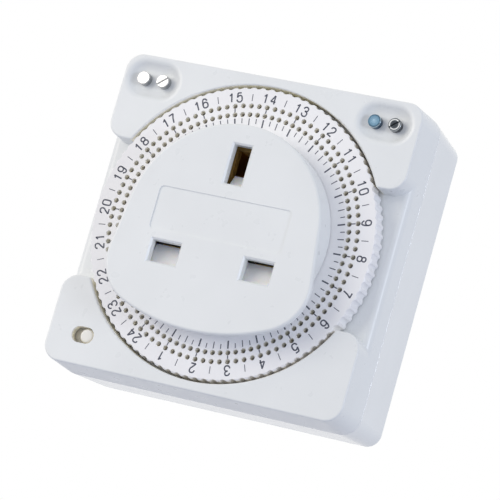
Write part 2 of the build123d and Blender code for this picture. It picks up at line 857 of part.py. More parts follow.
def flat_pin(profile, head, length):
    """Plug pin of one outline with a head inside the casing and a bevelled tip."""
    pin = slab(profile, pin_boss_depth, body_depth + length)
    pin = chamfer(pin.edges().group_by(Axis.Y)[-1], pin_tip_bevel)
    return pin + slab(head, pin_head_depth, pin_boss_depth)


def sleeved_pin():
    """Live or neutral pin, thinner where its sleeve lies."""
    pin = flat_pin(pin_profile(0), pin_profile(pin_head_margin), pin_length)
    sleeve = slab(pin_profile(0) - pin_profile(-sleeve_wall), back_wall_depth,
                  body_depth + sleeve_length)
    return pin - sleeve


def neutral_pin():
    """Neutral plug pin."""
    return Pos(neutral_x, 0, line_z) * sleeved_pin()


def live_pin():
    """Live plug pin with a neck that reaches the feed bar."""
    neck = slab(pin_profile(-sleeve_wall), feed_bar_depth + bar_thickness, pin_head_depth)
    return Pos(live_x, 0, line_z) * (sleeved_pin() + neck)


def earth_pin():
    """Earth plug pin, longer and without a sleeve."""
    head = earth_pin_profile(pin_head_margin)
    return Pos(0, 0, earth_z) * flat_pin(earth_pin_profile(0), head, earth_pin_length)


def pin_sleeves():
    """Insulating sleeves of the live and neutral pins."""
    sleeve = slab(pin_profile(0) - pin_profile(-sleeve_wall), back_wall_depth,
                  body_depth + sleeve_length)
    return Compound(children=[Pos(x, 0, line_z) * sleeve for x in (neutral_x, live_x)])


# ---------------------------------------------------------------- chassis and motor

def chassis():
    """Inner plate between the two covers; it carries the gears, the motor and the switch."""
    width = seam_width - 2 * wall - 2 * chassis_margin
    plate = slab(RectangleRounded(width, width, seam_corner - wall), seam_depth, chassis_back)
    plate -= slab(carrier_profile(fine_gap), seam_depth, chassis_back)
    for x, z in corners():
        plate -= rod(x, z, screw_radius + fine_gap, seam_depth, chassis_back)
    for side in (-1, 1):
        plate -= rod(side * socket_screw_x, socket_screw_z, screw_radius, seam_depth, chassis_back)
    for x, z in (drive_centre(), idler_centre()):
        plate -= rod(x, z, arbor_radius, seam_depth, chassis_back)
    for x, z in motor_lugs():
        plate -= rod(x, z, motor_screw_radius, seam_depth, chassis_back)
    plate -= rod(motor_x, motor_z, shaft_radius + clearance, seam_depth, chassis_back)
    plate -= rod(pivot_x, pivot_z, pivot_radius, seam_depth, chassis_back)
    plate -= push_window(seam_depth, chassis_back)
    middle = button_x - slide_travel / 2
    length = 2 * slider_shoe_x + slide_travel + 2 * clearance
    for side in (-1, 1):
        z = button_z + side * (slider_shoe_z + clearance + rib_width / 2)
        rib = Pos(middle, z) * Rectangle(length, rib_width)
        plate += slab(rib, seam_depth - rib_height, seam_depth)
    return plate


def motor_lugs():
    """Places of the motor's two screws."""
    reach = motor_radius + motor_lug_radius - motor_wall
    angle = math.radians(motor_lug_angle)
    step = (reach * math.cos(angle), reach * math.sin(angle))
    return [(motor_x + side * step[0], motor_z + side * step[1]) for side in (-1, 1)]


def motor_gearbox():
    """Flat sealed gearbox on the front of the motor, with two lugs and the output bearing."""
    back = chassis_back + gearbox_length
    box = rod(motor_x, motor_z, motor_radius, chassis_back, back)
    for x, z in motor_lugs():
        box += rod(x, z, motor_lug_radius, chassis_back, chassis_back + motor_lug_thickness)
        box -= rod(x, z, motor_screw_radius, chassis_back, chassis_back + motor_lug_thickness)
    bore = shaft_radius + running_fit
    box -= rod(motor_x, motor_z, bore, chassis_back, chassis_back + gearbox_length / 2 + fine_gap)
    box -= rod(motor_x, motor_z, bore, back - bearing_length, back)
    return box


def motor_screws():
    """Two screws through the motor's lugs into the chassis."""
    head = chassis_back + motor_lug_thickness
    screws = []
    for x, z in motor_lugs():
        screw = rod(x, z, motor_screw_radius, seam_depth, head)
        screws.append(screw + rod(x, z, 2 * motor_screw_radius, head, head + motor_screw_radius))
    return Compound(children=screws)


def motor_can():
    """Steel cup of the motor, closed at the back but for the shaft's bearing."""
    front = chassis_back + gearbox_length
    can = rod(motor_x, motor_z, motor_radius, front, front + motor_length)
    can -= rod(motor_x, motor_z, motor_radius - motor_wall, front, front + motor_length - motor_wall)
    return can - rod(motor_x, motor_z, shaft_radius + running_fit, front, front + motor_length)


def motor_coil():
    """Wound coil that fills the can around the rotor."""
    front = chassis_back + gearbox_length
    back = front + motor_length - motor_wall
    coil = rod(motor_x, motor_z, motor_radius - motor_wall, front, back)
    return coil - rod(motor_x, motor_z, rotor_radius + coil_gap, front, back)


def motor_rotor():
    """Magnet rotor on its shaft."""
    front = chassis_back + gearbox_length
    back = front + motor_length
    rotor = rod(motor_x, motor_z, rotor_radius, front + clearance, back - motor_wall - clearance)
    return rotor + rod(motor_x, motor_z, shaft_radius, front - bearing_length + fine_gap, back)


# ---------------------------------------------------------------- lever, slide and switch

def arm(start, end, half_width):
    """Round-ended bar outline between two places."""
    length = math.dist(start, end)
    middle = Pos((start[0] + end[0]) / 2, (start[1] + end[1]) / 2)
    return middle * Rot(0, 0, direction_to(start, end)) * SlotCenterToCenter(length, 2 * half_width)


def pivot():
    """Place of the lever's pivot."""
    return (pivot_x, pivot_z)


def nose_place():
    """Place of the lever's nose at rest, just outside the inner ring of tappet holes."""
    angle = math.radians(nose_angle)
    return (nose_ring * math.cos(angle), nose_ring * math.sin(angle))


def lever_swing():
    """Swing of the lever in degrees over the whole travel of the override slide."""
    start = direction_to(pivot(), (button_x, button_z))
    end = direction_to(pivot(), (button_x - slide_travel, button_z))
    return start - end


def nose_swing():
    """Distance that the nose moves outwards over the whole swing of the lever."""
    return math.dist(pivot(), nose_place()) * math.radians(lever_swing())


def push_window(near, far):
    """Window for the lever's push pin through the chassis or the switch base."""
    travel = 2 * (push_z - pivot_z) * math.sin(math.radians(lever_swing() / 2))
    start = (push_x, push_z)
    window = arm(start, (push_x + travel, push_z), push_radius + 2 * clearance)
    return slab(window, near, far)


def trip_lever():
    """Lever with a nose in the path of the tappets, a fork on the slide and a push pin."""
    near = math.dist(pivot(), (button_x, button_z))
    far = math.dist(pivot(), (button_x - slide_travel, button_z))
    share = (far + fork_gap) / near
    reach = (pivot_x + (button_x - pivot_x) * share, pivot_z + (button_z - pivot_z) * share)
    stem = (button_x, button_z)
    eye = button_radius + fork_gap
    outline = Pos(pivot_x, pivot_z) * Circle(lever_hub)
    outline += arm(pivot(), nose_place(), lever_arm)
    outline += arm(pivot(), (push_x, push_z), lever_arm)
    outline += arm(pivot(), stem, lever_arm)
    outline += arm(stem, reach, eye + fork_wall)
    outline -= arm(stem, reach, eye)
    outline -= Pos(pivot_x, pivot_z) * Circle(pivot_radius + running_fit)
    lever = slab(outline, lever_depth, lever_depth + lever_thickness)
    x, z = nose_place()
    lever += rod(x, z, nose_radius, disc_thickness + 2 * clearance, lever_depth)
    push_end = blade_depth + blade_width
    lever += rod(push_x, push_z, push_radius, lever_depth + lever_thickness, push_end)
    return lever


def lever_pivot():
    """Fixed pin from the well's floor to the chassis on which the lever turns."""
    return rod(pivot_x, pivot_z, pivot_radius, floor_depth, chassis_back)


def override_slider():
    """Round button on a stem with a shield behind the slot; its shoe slides on the chassis."""
    foot = seam_depth - clearance
    stem = rod(button_x, button_z, button_radius, button_drop, foot - shoe_thickness)
    stem = fillet(stem.edges().group_by(Axis.Y)[0], button_round)
    shoe = Pos(button_x, button_z) * Rectangle(2 * slider_shoe_x, 2 * slider_shoe_z)
    stem += slab(shoe, foot - shoe_thickness, foot)
    shield = arm((button_x - slide_travel, button_z), (button_x + slide_travel, button_z),
                 button_radius + slot_clearance + shield_lap)
    near = ear_skin + clearance
    return stem + slab(shield, near, near + shield_thickness)


def contact_blade():
    """Springy blade hung from a post, with a silver rivet that meets the fixed contact."""
    post_x = blade_x + blade_thickness / 2
    back = blade_depth + blade_width
    curl = Circle(blade_post_radius + running_fit + blade_curl)
    curl += Pos(0, (blade_end_z - blade_pivot_z) / 2) * Rectangle(
        blade_thickness, blade_pivot_z - blade_end_z)
    curl -= Circle(blade_post_radius + running_fit)
    blade = slab(Pos(post_x, blade_pivot_z) * curl, blade_depth, back)
    return blade + rivet(blade_x + blade_thickness, 1)


def rivet(x, side):
    """Contact rivet lying across the part, from a face at x towards one side."""
    middle = blade_depth + blade_width / 2
    plane = Plane(origin=(x, middle - body_depth, rivet_z), x_dir=(0, 1, 0), z_dir=(side, 0, 0))
    return extrude(plane * Circle(rivet_radius), rivet_height)


def blade_post():
    """Post of the moving contact, from the switch base to the load bar."""
    x = blade_x + blade_thickness / 2
    return rod(x, blade_pivot_z, blade_post_radius, chassis_back + switch_base_thickness,
               load_bar_depth)


def fixed_contact():
    """Fixed contact: an upright brass strip with a silver rivet, ending on the feed bar."""
    top = feed_bar_z + bar_width
    low = rivet_z - rivet_radius - rivet_margin
    strip = block(fixed_contact_x, fixed_contact_x + bar_thickness, low, top,
                  chassis_back + switch_base_thickness, feed_bar_depth)
    return strip + rivet(fixed_contact_x, -1)


def switch_base():
    """Insulating plate of the switch on the back of the chassis."""
    right = fixed_contact_x + bar_thickness + clearance
    left = push_x - push_radius - switch_base_margin
    back = chassis_back + switch_base_thickness
    base = block(left, right, blade_end_z - clearance, blade_pivot_z + switch_base_margin,
                 chassis_back, back)
    return base - push_window(chassis_back, back)


# ---------------------------------------------------------------- dial and tappets

def dial_ring():
    """Dial: knurled rim, flat scale with two rings of holes, sunk bezel and a hub behind it."""
    rim_inner = dial_radius - scallop_bite - rim_wall
    gear_back = dial_gear_depth + gear_width
    ring = turned([
        (hub_inner, bezel_drop), (bezel_inner, bezel_drop), (bezel_outer, 0),
        (dial_radius - rim_bevel, 0), (dial_radius, rim_bevel), (dial_radius, rim_height),
        (rim_inner, rim_height), (rim_inner, disc_thickness), (bezel_outer, disc_thickness),
        (hub_outer, disc_thickness + bezel_drop), (hub_outer, gear_back), (hub_inner, gear_back)])
    bite_ring = dial_radius - scallop_bite + scallop_radius
    scoops = PolarLocations(bite_ring, scallops, 360 / scallops / 2) * Circle(scallop_radius)
    ring -= slab(Sketch() + scoops, 0, rim_height)
    for radius in (outer_hole_ring, inner_hole_ring):
        holes = PolarLocations(radius, dial_steps) * Circle(tappet_hole_radius)
        ring -= slab(Sketch() + holes, 0, disc_thickness)
    return ring


def tappet(x, z, slotted):
    """Push-in trip: a round head on a thin pin, stored in its hole; one kind has a slot."""
    base = dish_depth - fine_gap
    head = rod(x, z, tappet_head_radius, base - tappet_head_height, base)
    head = fillet(head.edges().group_by(Axis.Y)[0], tappet_edge_round)
    head += rod(x, z, tappet_pin_radius, base, base + tappet_pin_length)
    if slotted:
        groove = Rectangle(3 * tappet_head_radius, tappet_slot_width)
        place = Pos(x, z) * Rot(0, 0, tappet_slot_angle) * groove
        top = base - tappet_head_height
        head -= slab(place, top, top + tappet_slot_depth)
    return head


def tappets():
    """The four stored tappets by name."""
    names = ["tappet_pale_plain", "tappet_pale_slotted", "tappet_dark_plain", "tappet_dark_slotted"]
    places = zip(names, tappet_places())
    return {name: tappet(x, z, name.endswith("slotted")) for name, (x, z) in places}


# ---------------------------------------------------------------- export

pieces = {
    "front_cover": front_cover(),
    "rear_cover": rear_cover(),
    "case_screws": case_screws(),
    "chassis": chassis(),
    "socket_cover": socket_cover(),
    "socket_screws": socket_screws(),
    "shutter": shutter(),
    "shutter_spring": shutter_spring(),
    "contact_carrier": contact_carrier(),
    "live_contact": live_contact(),
    "neutral_contact": neutral_contact(),
    "earth_contact": earth_contact(),
    "neutral_link": neutral_link(),
    "earth_link": earth_link(),
    "live_load_bar": live_load_bar(),
    "live_feed_bar": live_feed_bar(),
    "live_pin": live_pin(),
    "neutral_pin": neutral_pin(),
    "earth_pin": earth_pin(),
    "pin_sleeves": pin_sleeves(),
    "motor_gearbox": motor_gearbox(),
    "motor_can": motor_can(),
    "motor_coil": motor_coil(),
    "motor_rotor": motor_rotor(),
    "motor_screws": motor_screws(),
    "motor_pinion": motor_pinion(),
    "idler_gear": idler_gear(),
    "drive_gear": drive_gear(),
    "gear_arbors": gear_arbors(),
    "dial_ring": dial_ring(),
    "dial_gear": dial_gear(),
    "override_slider": override_slider(),
    "trip_lever": trip_lever(),
    "lever_pivot": lever_pivot(),
    "contact_blade": contact_blade(),
    "blade_post": blade_post(),
    "fixed_contact": fixed_contact(),
    "switch_base": switch_base(),
}
pieces.update(tappets())

os.makedirs("parts", exist_ok=True)
for name, shape in pieces.items():
    export_step(shape, "parts/" + name + ".step")
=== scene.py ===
import bpy
import bmesh
import json
import math
from mathutils import Matrix, Quaternion, Vector


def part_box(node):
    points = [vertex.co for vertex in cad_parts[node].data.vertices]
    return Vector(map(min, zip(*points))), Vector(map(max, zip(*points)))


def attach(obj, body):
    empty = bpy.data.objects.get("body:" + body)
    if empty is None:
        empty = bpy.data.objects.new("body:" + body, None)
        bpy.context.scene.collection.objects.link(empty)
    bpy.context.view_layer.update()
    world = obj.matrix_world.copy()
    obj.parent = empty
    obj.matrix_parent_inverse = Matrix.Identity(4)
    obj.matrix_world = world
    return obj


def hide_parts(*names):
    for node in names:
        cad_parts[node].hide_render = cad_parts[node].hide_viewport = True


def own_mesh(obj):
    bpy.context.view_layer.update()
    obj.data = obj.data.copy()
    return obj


# Looks of the plug-in timer switch. Metres, in the part's frame: +Z up, +X right as the front is seen,
# the front faces -Y and the flat back lies at y = 0.

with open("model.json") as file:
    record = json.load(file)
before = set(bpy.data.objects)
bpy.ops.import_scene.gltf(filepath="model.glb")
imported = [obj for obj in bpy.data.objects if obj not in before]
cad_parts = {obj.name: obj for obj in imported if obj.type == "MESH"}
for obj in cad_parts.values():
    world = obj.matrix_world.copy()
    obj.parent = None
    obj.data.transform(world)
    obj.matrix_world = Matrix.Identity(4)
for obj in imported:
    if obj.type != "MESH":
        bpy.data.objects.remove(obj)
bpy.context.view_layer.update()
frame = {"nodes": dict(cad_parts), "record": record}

mm = 0.001

# ---- places on the part, from the frame
cover_low, cover_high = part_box("front_cover")
plateau_y = cover_low.y
body_bottom = cover_low.z

# ---- rings of the casing and the dial, in millimetres
well_radius = 33.9
hole_rings_middle = 28.0
hole_rings_reach = 1.7

# ---- painted light, in millimetres: a recess is painted cream between two depths behind the plateau, a painted glow for light that comes through the plastic; the tappets' sides and the carrier's lower part are painted shade
casing_recess = (0.1, 0.6)
dial_recess = (0.05, 0.4)
casing_recess_end = 5.0
slide_recess_radius = 5.0
well_recess_margin = 0.2
recess_glow = 3.0
head_rim = (0.2, 0.5)
ochre_rise = 4.0

# ---- points of a copied mesh that are nearer than this become one, in millimetres
merge_distance = 0.001

# ---- printed scale of the dial, in millimetres; a tick is its two ends' radii and its width
hours = 24
top_hour = 14
steps = 96
steps_per_hour = steps // hours
number_radius = 31.0
digit_height = 2.35
digit_width = 1.48
digit_gap = 0.44
digit_stroke = 0.34
ink_height = 0.02
half_tick = (30.1, 31.7, 0.17)
hole_link = (27.62, 28.38, 0.24)
bezel_outer = 26.2
bezel_inner = 23.3
bezel_drop = 0.3
bezel_start = 26.1

# ---- inner end and width of the bezel's ticks, in millimetres
bezel_ends = {"hour": (24.3, 0.33), "half": (24.55, 0.2), "quarter": (25.0, 0.19)}

# ---- light and camera
camera_place = Vector((267.1, -644.6, -120.3)) * mm
camera_aim = Vector((5.4, -30.5, -2.97)) * mm
camera_roll = math.radians(15.95)
camera_lens = 224.34
camera_sensor = 36.0
ambient_above = "#C9CACE"
ambient_below = "#AAAEBE"
ambient_rise = (-0.4, 0.2)
floor_gap = 0.02
floor_size = 3.0

# ---- pen strokes of the digits, on a field 1 wide and 1 high: "line" joins its points, "bow" bends
# softly between its ends towards the points, "loop" is a closed ring inside its points
digit_strokes = {
    "0": [("loop", (0.18, 1.0), (0.82, 1.0), (1.0, 0.8), (1.0, 0.2), (0.82, 0.0), (0.18, 0.0),
           (0.0, 0.2), (0.0, 0.8))],
    "1": [("bow", (0.16, 0.76), (0.46, 0.8), (0.6, 1.0)), ("line", (0.6, 1.0), (0.6, 0.0))],
    "2": [("bow", (0.02, 0.72), (0.04, 1.0), (0.96, 1.04), (1.04, 0.62), (0.56, 0.38), (0.0, 0.0)),
          ("line", (0.0, 0.0), (1.0, 0.0))],
    "3": [("bow", (0.03, 0.76), (0.08, 1.02), (0.94, 1.04), (0.98, 0.56), (0.38, 0.55)),
          ("bow", (0.38, 0.55), (1.06, 0.56), (1.06, -0.04), (0.06, -0.04), (0.0, 0.26))],
    "4": [("line", (0.76, 0.0), (0.76, 1.0), (0.0, 0.29), (1.0, 0.29))],
    "5": [("line", (0.92, 1.0), (0.2, 1.0), (0.08, 0.48)),
          ("bow", (0.08, 0.48), (0.44, 0.76), (1.06, 0.62), (1.04, -0.04), (0.08, -0.06), (0.0, 0.25))],
    "6": [("bow", (0.94, 0.77), (0.86, 1.02), (0.04, 1.1), (0.0, 0.34)),
          ("loop", (0.0, 0.64), (1.0, 0.64), (1.0, 0.0), (0.0, 0.0))],
    "7": [("line", (0.0, 1.0), (1.0, 1.0)), ("bow", (1.0, 1.0), (0.5, 0.6), (0.32, 0.0))],
    "8": [("loop", (0.08, 1.0), (0.92, 1.0), (0.92, 0.54), (0.08, 0.54)),
          ("loop", (0.0, 0.54), (1.0, 0.54), (1.0, 0.0), (0.0, 0.0))],
    "9": [("bow", (0.06, 0.23), (0.14, -0.02), (0.96, -0.1), (1.0, 0.66)),
          ("loop", (0.0, 1.0), (1.0, 1.0), (1.0, 0.36), (0.0, 0.36))],
}


# ---------------------------------------------------------------- small helpers

def linear(code):
    """Linear colour, with alpha, of an sRGB hex code."""
    parts = [int(code[i:i + 2], 16) / 255 for i in (1, 3, 5)]
    return [c / 12.92 if c <= 0.04045 else ((c + 0.055) / 1.055) ** 2.4 for c in parts] + [1.0]


def tint(code, share):
    """Hex code with each channel brought down to a share."""
    return "#" + "".join("%02X" % round(int(code[i:i + 2], 16) * share) for i in (1, 3, 5))


def add_node(tree, kind, inputs=(), **settings):
    """A shader node with its settings; each input gets a value, or a link where it is an output."""
    node = tree.nodes.new("ShaderNode" + kind)
    for name, value in settings.items():
        setattr(node, name, value)
    for name, value in dict(inputs).items():
        if isinstance(value, bpy.types.NodeSocket):
            tree.links.new(value, node.inputs[name])
        else:
            node.inputs[name].default_value = value
    return node


def new_material(name, colour, roughness, metallic=0.0, **shader_inputs):
    """Material with a Principled shader, and its node tree, shader and object coordinates."""
    material = bpy.data.materials.new(name)
    material.use_nodes = True
    tree = material.node_tree
    shader = tree.nodes["Principled BSDF"]
    shader.inputs["Base Color"].default_value = linear(colour)
    shader.inputs["Roughness"].default_value = roughness
    shader.inputs["Metallic"].default_value = metallic
    for key, value in shader_inputs.items():
        shader.inputs[key.replace("_", " ")].default_value = value
    place = add_node(tree, "TexCoord").outputs["Object"]
    return material, tree, shader, place


def glow_through(shader, share, depth):
    """Lets light travel a depth in millimetres inside a pale plastic, the warm part of it furthest."""
    shader.inputs["Subsurface Weight"].default_value = share
    shader.inputs["Subsurface Radius"].default_value = (1.0, 0.8, 0.5)
    shader.inputs["Subsurface Scale"].default_value = depth * mm


# ---------------------------------------------------------------- materials

def moulded_abs(name, colour, roughness, grain):
    """Injection-moulded ABS: satin white, with a fine eroded grain.

    The real grain is too fine to show, so it is drawn twice as coarse.
    """
    material, tree, shader, place = new_material(name, colour, roughness, IOR=1.52)
    cloud = add_node(tree, "TexNoise", {"Vector": place, "Scale": 1 / (14 * mm)})
    face = add_node(tree, "ValToRGB", {"Fac": cloud.outputs["Fac"]})
    face.color_ramp.elements[0].position = 0.3
    face.color_ramp.elements[0].color = linear(tint(colour, 0.985))
    face.color_ramp.elements[1].position = 0.7
    face.color_ramp.elements[1].color = linear(colour)
    tree.links.new(face.outputs["Color"], shader.inputs["Base Color"])
    polish = add_node(tree, "TexNoise", {"Vector": place, "Scale": 1 / (3 * mm)})
    sheen = add_node(tree, "MapRange", {
        "Value": polish.outputs["Fac"],
        "From Min": 0.3,
        "From Max": 0.7,
        "To Min": roughness - 0.03,
        "To Max": roughness + 0.04,
    })
    tree.links.new(sheen.outputs["Result"], shader.inputs["Roughness"])
    pores = add_node(tree, "TexNoise", {"Vector": place, "Scale": 1 / (0.3 * mm), "Detail": 1.0})
    fine = add_node(tree, "Bump", {"Height": pores.outputs["Fac"], "Distance": grain * mm})
    sink = add_node(tree, "TexNoise", {"Vector": place, "Scale": 1 / (7 * mm), "Detail": 0.0})
    wavy = add_node(tree, "Bump", {
        "Height": sink.outputs["Fac"],
        "Distance": 0.02 * mm,
        "Normal": fine.outputs["Normal"],
    })
    tree.links.new(wavy.outputs["Normal"], shader.inputs["Normal"])
    return material, tree, shader, place, face.outputs["Color"]


def warm_recess(tree, shader, face, painted_glow_mask, colour, depth):
    """Painted glow: the walls in a recess are painted cream for light that has soaked through the
    plastic and comes out again; the same mask also lets real light through beneath the surface.

    The mask is 0 on the face and 1 in the recess; the depth is how far the light travels, in
    millimetres.
    """
    skin = add_node(tree, "Mix", {"Factor": painted_glow_mask, 6: face, 7: linear(colour)}, data_type="RGBA")
    tree.links.new(skin.outputs[2], shader.inputs["Base Color"])
    tree.links.new(painted_glow_mask, shader.inputs["Subsurface Weight"])
    shader.inputs["Subsurface Radius"].default_value = (1.0, 1.0, 1.0)
    shader.inputs["Subsurface Scale"].default_value = depth * mm


def casing_abs(name, roughness):
    """Casing: cool satin white; the well's wall and the slide's slot are painted cream, a painted glow
    for light through the plastic, and let light through.
    """
    material, tree, shader, place, face = moulded_abs(name, "#ECEFF0", roughness, 0.004)
    axes = add_node(tree, "SeparateXYZ", {"Vector": place})
    behind = add_node(tree, "MapRange", {
        "Value": axes.outputs["Y"],
        "From Min": plateau_y + casing_recess[0] * mm,
        "From Max": plateau_y + casing_recess[1] * mm,
    })
    flat = add_node(tree, "Mapping", {"Vector": place, "Scale": (1, 0, 1)})
    from_middle = add_node(tree, "VectorMath", {0: flat.outputs["Vector"]}, operation="LENGTH")
    in_well = add_node(tree, "Math", {
        0: from_middle.outputs["Value"],
        1: (well_radius + well_recess_margin) * mm,
    }, operation="LESS_THAN")
    slide_low, slide_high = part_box("override_slider")
    slot = add_node(tree, "Mapping", {
        "Vector": place,
        "Location": (-(slide_low.x + slide_high.x) / 2, 0, -(slide_low.z + slide_high.z) / 2),
        "Scale": (1, 0, 1),
    })
    from_slot = add_node(tree, "VectorMath", {0: slot.outputs["Vector"]}, operation="LENGTH")
    in_slot = add_node(tree, "Math", {
        0: from_slot.outputs["Value"],
        1: slide_recess_radius * mm,
    }, operation="LESS_THAN")
    either = add_node(tree, "Math", {0: in_well.outputs["Value"], 1: in_slot.outputs["Value"]},
                      operation="MAXIMUM")
    sunk = add_node(tree, "Math", {0: either.outputs["Value"], 1: behind.outputs["Result"]},
                    operation="MULTIPLY")
    inside = add_node(tree, "Math", {
        0: axes.outputs["Y"],
        1: plateau_y + casing_recess_end * mm,
    }, operation="LESS_THAN")
    painted_glow_mask = add_node(tree, "Math", {0: sunk.outputs["Value"], 1: inside.outputs["Value"]},
                      operation="MULTIPLY")
    warm_recess(tree, shader, face, painted_glow_mask.outputs["Value"], "#F9F1DC", recess_glow)
    return material


def dial_abs():
    """Dial: a smoother white; the walls of its holes are painted cream, a painted glow for light through
    the plastic, and let light through.
    """
    material, tree, shader, place, face = moulded_abs("smooth_white_abs", "#F6F6F8", 0.36, 0.002)
    axes = add_node(tree, "SeparateXYZ", {"Vector": place})
    behind = add_node(tree, "MapRange", {
        "Value": axes.outputs["Y"],
        "From Min": plateau_y + dial_recess[0] * mm,
        "From Max": plateau_y + dial_recess[1] * mm,
    })
    flat = add_node(tree, "Mapping", {"Vector": place, "Scale": (1, 0, 1)})
    from_middle = add_node(tree, "VectorMath", {0: flat.outputs["Vector"]}, operation="LENGTH")
    beside = add_node(tree, "Math", {
        0: from_middle.outputs["Value"],
        1: hole_rings_middle * mm,
        2: hole_rings_reach * mm,
    }, operation="COMPARE")
    painted_glow_mask = add_node(tree, "Math", {0: beside.outputs["Value"], 1: behind.outputs["Result"]},
                      operation="MULTIPLY")
    warm_recess(tree, shader, face, painted_glow_mask.outputs["Value"], "#FFF8E8", recess_glow)
    return material


def shutter_acetal():
    """Shutter: slippery white acetal with a dull gloss and faint flow lines."""
    material, tree, shader, place = new_material("white_acetal", "#FBFBFA", 0.32, IOR=1.48)
    glow_through(shader, 0.6, 0.8)
    flow = add_node(tree, "Mapping", {"Vector": place, "Scale": (1, 1, 0.2)})
    lines = add_node(tree, "TexNoise", {"Vector": flow.outputs["Vector"], "Scale": 1 / (0.8 * mm)})
    skin = add_node(tree, "Mix", {"Factor": lines.outputs["Fac"], 6: linear("#F9F9F8"),
                                  7: linear("#FEFEFD")}, data_type="RGBA")
    tree.links.new(skin.outputs[2], shader.inputs["Base Color"])
    relief = add_node(tree, "Bump", {"Height": lines.outputs["Fac"], "Distance": 0.004 * mm})
    tree.links.new(relief.outputs["Normal"], shader.inputs["Normal"])
    return material


def glass_filled_nylon():
    """Inner frames: grey glass-filled nylon with pale fibre flecks."""
    material, tree, shader, place = new_material("glass_filled_nylon", "#8C8F90", 0.55, IOR=1.53)
    along = add_node(tree, "Mapping", {"Vector": place, "Scale": (0.25, 1, 1)})
    fibres = add_node(tree, "TexNoise", {
        "Vector": along.outputs["Vector"],
        "Scale": 1 / (0.35 * mm),
        "Detail": 3.0,
        "Roughness": 0.6,
    })
    flecks = add_node(tree, "ValToRGB", {"Fac": fibres.outputs["Fac"]})
    flecks.color_ramp.elements[0].position = 0.55
    flecks.color_ramp.elements[0].color = linear("#858889")
    flecks.color_ramp.elements[1].position = 0.7
    flecks.color_ramp.elements[1].color = linear("#A5A8A8")
    tree.links.new(flecks.outputs["Color"], shader.inputs["Base Color"])
    relief = add_node(tree, "Bump", {"Height": fibres.outputs["Fac"], "Distance": 0.006 * mm})
    tree.links.new(relief.outputs["Normal"], shader.inputs["Normal"])
    return material


def gear_acetal():
    """Gears: natural acetal, cream and slightly waxy."""
    material, tree, shader, place = new_material("natural_acetal", "#EFE9D6", 0.35, IOR=1.48)
    glow_through(shader, 0.4, 0.8)
    cloud = add_node(tree, "TexNoise", {"Vector": place, "Scale": 1 / (4 * mm)})
    skin = add_node(tree, "Mix", {"Factor": cloud.outputs["Fac"], 6: linear("#EFE9D6"),
                                  7: linear("#E6DDC4")}, data_type="RGBA")
    tree.links.new(skin.outputs[2], shader.inputs["Base Color"])
    pores = add_node(tree, "TexNoise", {"Vector": place, "Scale": 1 / (0.5 * mm)})
    relief = add_node(tree, "Bump", {"Height": pores.outputs["Fac"], "Distance": 0.003 * mm})
    tree.links.new(relief.outputs["Normal"], shader.inputs["Normal"])
    return material


def sleeve_nylon():
    """Pin sleeves: black moulded nylon, softly glossy with a fine grain."""
    material, tree, shader, place = new_material("black_nylon", "#1B1B1D", 0.4, IOR=1.53)
    pores = add_node(tree, "TexNoise", {"Vector": place, "Scale": 1 / (0.4 * mm)})
    skin = add_node(tree, "Mix", {"Factor": pores.outputs["Fac"], 6: linear("#18181A"),
                                  7: linear("#222224")}, data_type="RGBA")
    tree.links.new(skin.outputs[2], shader.inputs["Base Color"])
    relief = add_node(tree, "Bump", {"Height": pores.outputs["Fac"], "Distance": 0.006 * mm})
    tree.links.new(relief.outputs["Normal"], shader.inputs["Normal"])
    return material


def drawn_metal(name, colour, stain_colour, stain, roughness, line):
    """Metal worked along Y: stains of a size and fine lines of a spacing, both in millimetres."""
    material, tree, shader, place = new_material(name, colour, roughness, 1.0)
    clouds = add_node(tree, "TexNoise", {"Vector": place, "Scale": 1 / (stain * mm), "Detail": 4.0})
    skin = add_node(tree, "ValToRGB", {"Fac": clouds.outputs["Fac"]})
    skin.color_ramp.elements[0].position = 0.42
    skin.color_ramp.elements[0].color = linear(colour)
    skin.color_ramp.elements[1].position = 0.75
    skin.color_ramp.elements[1].color = linear(stain_colour)
    tree.links.new(skin.outputs["Color"], shader.inputs["Base Color"])
    dull = add_node(tree, "MapRange", {
        "Value": clouds.outputs["Fac"],
        "From Min": 0.3,
        "From Max": 0.7,
        "To Min": roughness - 0.07,
        "To Max": roughness + 0.12,
    })
    tree.links.new(dull.outputs["Result"], shader.inputs["Roughness"])
    along = add_node(tree, "Mapping", {"Vector": place, "Scale": (1, 0.05, 1)})
    lines = add_node(tree, "TexNoise", {"Vector": along.outputs["Vector"], "Scale": 1 / (line * mm)})
    relief = add_node(tree, "Bump", {"Height": lines.outputs["Fac"], "Distance": 0.004 * mm})
    tree.links.new(relief.outputs["Normal"], shader.inputs["Normal"])
    return material


def enamelled_winding():
    """Coil: copper wire under clear brown enamel, its turns drawn coarse enough to show."""
    material, tree, shader, place = new_material("enamelled_copper", "#A65A2C", 0.3, 0.7)
    turns = add_node(tree, "TexWave", {"Vector": place, "Scale": 1 / (3 * mm)}, bands_direction="Y")
    skin = add_node(tree, "Mix", {"Factor": turns.outputs["Fac"], 6: linear("#7A3C1C"),
                                  7: linear("#B96A36")}, data_type="RGBA")
    tree.links.new(skin.outputs[2], shader.inputs["Base Color"])
    relief = add_node(tree, "Bump", {"Height": turns.outputs["Fac"], "Distance": 0.05 * mm})
    tree.links.new(relief.outputs["Normal"], shader.inputs["Normal"])
    return material


def ferrite():
    """Rotor magnet: sintered ferrite, dark grey and dull with a gritty grain."""
    material, tree, shader, place = new_material("sintered_ferrite", "#2C2C30", 0.6)
    grit = add_node(tree, "TexNoise", {"Vector": place, "Scale": 1 / (0.3 * mm), "Detail": 3.0})
    skin = add_node(tree, "Mix", {"Factor": grit.outputs["Fac"], 6: linear("#252528"),
                                  7: linear("#3B3B40")}, data_type="RGBA")
    tree.links.new(skin.outputs[2], shader.inputs["Base Color"])
    relief = add_node(tree, "Bump", {"Height": grit.outputs["Fac"], "Distance": 0.01 * mm})
    tree.links.new(relief.outputs["Normal"], shader.inputs["Normal"])
    return material


